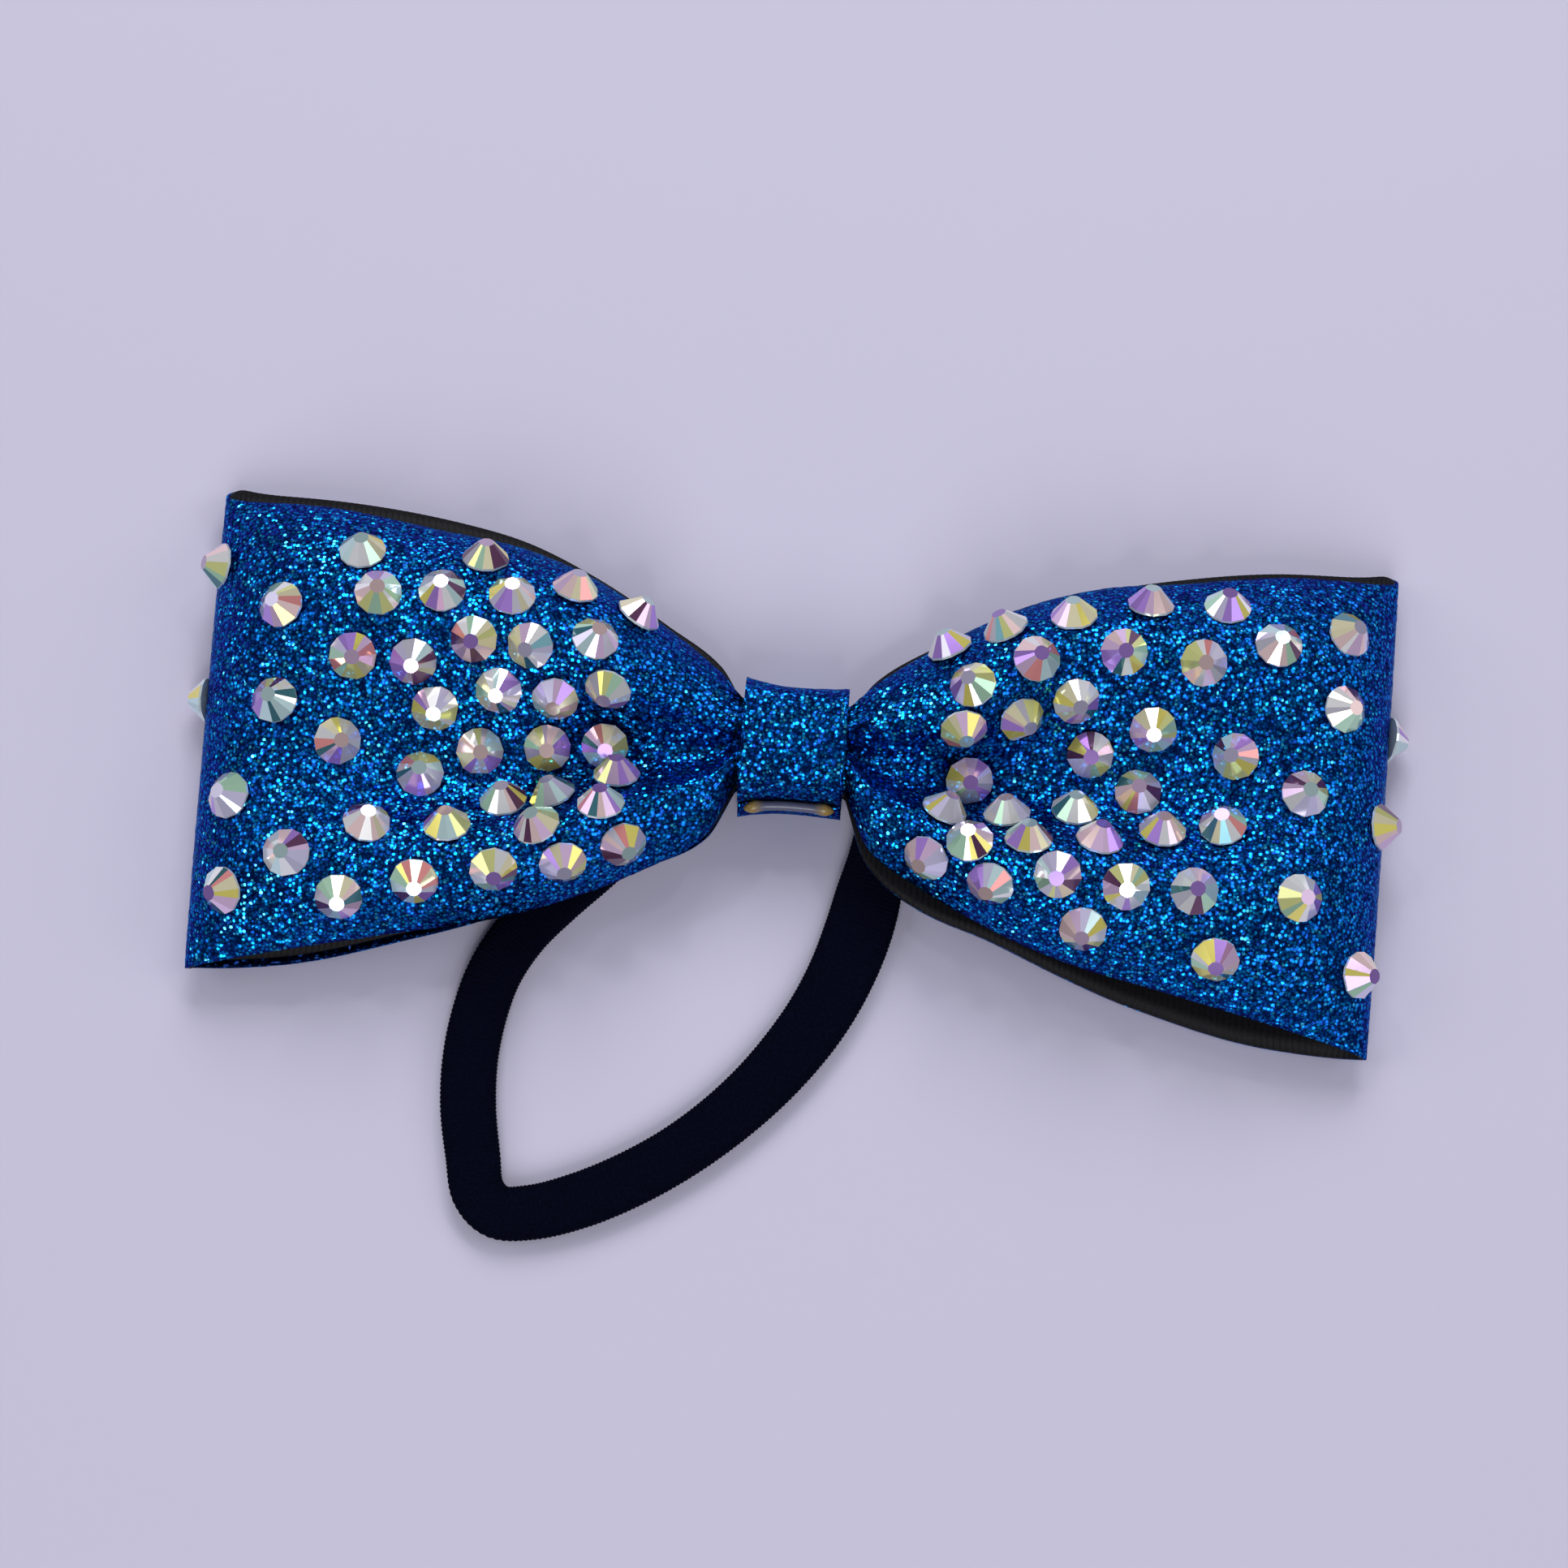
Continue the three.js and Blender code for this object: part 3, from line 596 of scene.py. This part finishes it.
def add_bead(material):
    """A run of glue with blunt ends and a blob near each."""
    x = np.linspace(-BEAD_LENGTH / 2, BEAD_LENGTH / 2, BEAD_STEPS)
    end = np.sqrt(np.clip(1 - (np.abs(x) / (BEAD_LENGTH / 2)) ** 8, 0.02, 1))
    blobs = 0.85 + 0.3 * np.exp(-((np.abs(x) - BLOB_AT) / BLOB_WIDTH) ** 2)
    angle = 2 * np.pi * np.arange(BEAD_SIDES) / BEAD_SIDES
    radius = (BEAD_RADIUS * end * blobs)[:, None]
    x = np.broadcast_to(x[:, None], (len(x), len(angle)))
    y = flared(x, BEAD_AT[0] + 0.9 * radius * np.cos(angle))
    bead = tube("glue_bead", np.stack([x, y, BEAD_AT[1] + radius * np.sin(angle)], -1))
    bead.data.materials.append(material)
    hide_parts("band_glue_bead")
    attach(bead, "bow")


def front_place(loop, x, y):
    """s and v of the place on a loop's front that lies at x, y."""
    d = abs(x)
    for _ in range(5):
        past = max(d - FOLD_FROM, 0) / (LOOP_END - FOLD_FROM)
        s = d / FOLD_FROM if d < FOLD_FROM else 1 + math.asin(past) / math.pi
        middle = fold_y(loop, s, d, 0)
        v = (y - middle) / (fold_y(loop, s, d, 1) - middle)
        d = abs(x) - lean(d, v)
    return s, v


def fold_place(loop, turn, y):
    """s and v of the place that lies turn degrees round the end fold, at y."""
    s = 1 + turn / 180
    middle = fold_y(loop, s, reach(s), 0)
    return s, (y - middle) / (fold_y(loop, s, reach(s), 1) - middle)


def stone_pose(loop, s, v):
    """Stands a stone on the highest part of the ribbon under its flat back."""
    base, normal = loop_point(loop, s, v), loop_normal(loop, s, v)
    ds, dv = np.meshgrid(np.arange(-0.06, 0.061, 0.01), np.arange(-0.4, 0.41, 0.04))
    near = loop_point(loop, np.clip(s + ds, 0, 3), np.clip(v + dv, -1, 1)) - base
    lift = near @ normal
    away = np.sqrt(np.maximum((near ** 2).sum(-1) - lift ** 2, 0))
    high = max(0.0, float(lift[away < STONE_DIAMETER / 2].max()))
    return base + normal * (high + STONE_SEAT), normal


# Tints of the aurora coating, in their order round a stone, and the odd ones between them
AURORA = [
    (0.74, 0.76, 0.30), (0.50, 0.78, 0.56), (0.64, 0.86, 0.86), (0.70, 0.66, 0.88), (0.46, 0.26, 0.76),
    (0.78, 0.56, 0.80), (0.92, 0.68, 0.66), (0.88, 0.82, 0.54),
]
ODD_TINTS = [
    (0.92, 0.92, 0.92), (0.14, 0.05, 0.12), (0.62, 0.60, 0.68), (0.06, 0.20, 0.24), (0.86, 0.76, 0.18),
    (0.90, 0.34, 0.32),
]
ODD_SHARES = [0.36, 0.13, 0.22, 0.07, 0.14, 0.08]
ODD_CHANCE = 0.36
# The back and the girdle: a pale colour of glass over foil, made lighter with painted light that stands in
# for light coming through the glass
BACK_TINT_WITH_PAINTED_LIGHT = (0.7, 0.8, 0.82)  # the back and the girdle


def facet_tints(count):
    """A tint for each facet: the aurora colours in turn round the stone, with odd ones in between."""
    start, turns = rng.uniform(0, len(AURORA)), rng.choice([-1, 1])
    tints = []
    for i in range(count):
        place = start + turns * i * len(AURORA) / count + rng.normal(0, 0.7)
        tint = np.array(AURORA[int(round(place)) % len(AURORA)])
        if rng.random() < ODD_CHANCE:
            tint = np.array(ODD_TINTS[rng.choice(len(ODD_TINTS), p=ODD_SHARES)])
        tints.append(tint * rng.uniform(0.8, 1.1))
    return tints


def stone_mesh(name):
    """A flat-back stone about +Z: flat back, girdle, crown facets of uneven width and a small table."""
    mesh = bpy.data.meshes.new(name)
    bm = bmesh.new()
    count = STONE_FACETS
    girdle = STONE_DIAMETER / 2
    widths = rng.uniform(*FACET_WIDTHS, count)
    angles = np.cumsum(widths) * 2 * math.pi / widths.sum()

    def ring(radius, z):
        return [bm.verts.new((radius * math.cos(a) * MM, radius * math.sin(a) * MM, z * MM)) for a in angles]

    base = ring(girdle, 0)
    rim = ring(girdle, STONE_GIRDLE)
    table = ring(STONE_TABLE / 2, STONE_HEIGHT)
    bm.faces.new(base[::-1])
    top = bm.faces.new(table)
    crown = []
    for i in range(count):
        j = (i + 1) % count
        bm.faces.new((base[i], base[j], rim[j], rim[i]))
        crown.append(bm.faces.new((rim[i], rim[j], table[j], table[i])))
    bm.to_mesh(mesh)
    # Every face starts with the pale back tint, which holds painted light through the glass; the crown facets
    # and the table get their own tints below
    tints = np.tile(np.array([*BACK_TINT_WITH_PAINTED_LIGHT, 1.0]), (len(mesh.polygons), 1))
    bm.faces.index_update()
    for face, tint in zip(crown, facet_tints(count)):
        tints[face.index, :3] = tint
    tints[top.index, :3] = 0.6 * np.array(AURORA[rng.integers(2, 7)])
    bm.free()
    attribute = mesh.attributes.new("tint", "FLOAT_COLOR", "FACE")
    attribute.data.foreach_set("color", np.clip(tints, 0, 1).ravel())
    return mesh


def add_stones(side, loop, front, fold, material):
    """One loop's stones, each a little askew. Those that are CAD nodes replace them."""
    places = [fold_place(loop, *p) for p in fold] + [front_place(loop, *p) for p in front]
    for i, (s, v) in enumerate(places, start=1):
        name = f"stone_{side}_{i:02d}"
        point, normal = stone_pose(loop, s, v)
        lean_by = rng.normal(0, STONE_LEAN, 3)
        axis = Vector(normal + lean_by).normalized()
        turn = Matrix.Rotation(rng.uniform(0, 2 * math.pi), 4, "Z")
        upright = axis.to_track_quat("Z", "Y").to_matrix().to_4x4()
        place = Matrix.Translation(Vector(point * MM)) @ upright @ turn
        mesh = stone_mesh("crystal_" + name)
        mesh.transform(place)
        obj = bpy.data.objects.new("crystal_" + name, mesh)
        bpy.context.scene.collection.objects.link(obj)
        mesh.materials.append(material)
        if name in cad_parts:
            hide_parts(name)
        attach(obj, "bow")


# ---- Stage ----

def add_floor():
    bpy.ops.mesh.primitive_plane_add(size=4, location=(0, 0, -0.00005))
    floor = bpy.context.object
    floor.name = "floor"
    n = Nodes("pale_paper")
    n.shader.inputs["Base Color"].default_value = (0.535, 0.515, 0.65, 1)
    n.shader.inputs["Roughness"].default_value = 0.8
    floor.data.materials.append(n.material)


def add_area_light(name, location, size, power, colour):
    light = bpy.data.lights.new(name, "AREA")
    light.shape = "DISK"
    light.size = size
    light.energy = power
    light.color = colour
    obj = bpy.data.objects.new(name, light)
    obj.location = location
    obj.rotation_euler = (-Vector(location)).to_track_quat("-Z", "Y").to_euler()
    bpy.context.scene.collection.objects.link(obj)


def add_lights():
    """Soft light from all four sides, the strongest from beyond the bow, and small lamps that make glints."""
    world = bpy.data.worlds.new("soft_room")
    bpy.context.scene.world = world
    world.use_nodes = True
    world.node_tree.nodes["Background"].inputs[0].default_value = (0.62, 0.64, 0.75, 1)
    world.node_tree.nodes["Background"].inputs[1].default_value = 0.22
    for name, place, power in (("window", (0, 0.95, 0.8), 8.6), ("room", (0, -0.95, 0.8), 6.4),
                               ("left_wall", (-0.9, 0.1, 0.7), 2.2), ("right_wall", (0.9, 0.1, 0.7), 2.2)):
        add_area_light(name, place, 0.7, power, (0.97, 0.97, 1))
    for name, place in (("lamp_left", (-0.45, 0.6, 0.95)), ("lamp_right", (0.4, 0.65, 0.95)),
                        ("lamp_near", (0.1, -0.6, 0.95))):
        add_area_light(name, place, 0.1, 0.8, (1, 0.97, 0.93))


def add_camera():
    azimuth, elevation = math.radians(CAMERA_AZIMUTH), math.radians(CAMERA_ELEVATION)
    back = Vector((math.sin(azimuth) * math.cos(elevation), -math.cos(azimuth) * math.cos(elevation),
                   math.sin(elevation)))
    right = Vector((math.cos(azimuth), math.sin(azimuth), 0))
    up = back.cross(right)
    camera = bpy.data.cameras.new("camera")
    camera.angle = math.radians(CAMERA_FIELD)
    camera.clip_start = 0.01
    obj = bpy.data.objects.new("camera", camera)
    place = Vector(LOOK_AT) + back * CAMERA_DISTANCE
    obj.matrix_world = Matrix.Translation(place) @ Matrix((right, up, back)).transposed().to_4x4()
    bpy.context.scene.collection.objects.link(obj)
    bpy.context.scene.camera = obj


add_camera()
knit = knit_material()
add_elastic(knit)
glitter = glitter_material()
add_ribbon(glitter, grosgrain_material())
add_band(glitter)
add_bead(glue_material())
crystal = crystal_material()
add_stones("left", LEFT, LEFT_STONES, LEFT_FOLD_STONES, crystal)
add_stones("right", RIGHT, RIGHT_STONES, RIGHT_FOLD_STONES, crystal)

for node, material in (("pinch_thread", plain_material("black_thread", (0.03, 0.03, 0.035), 0.7)),
                       ("elastic_core", plain_material("pale_rubber", (0.5, 0.47, 0.4), 0.6)),
                       ("elastic_joint", knit)):
    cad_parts[node].material_slots[0].material = material

add_floor()
add_lights()
bpy.context.scene.view_settings.view_transform = "Standard"
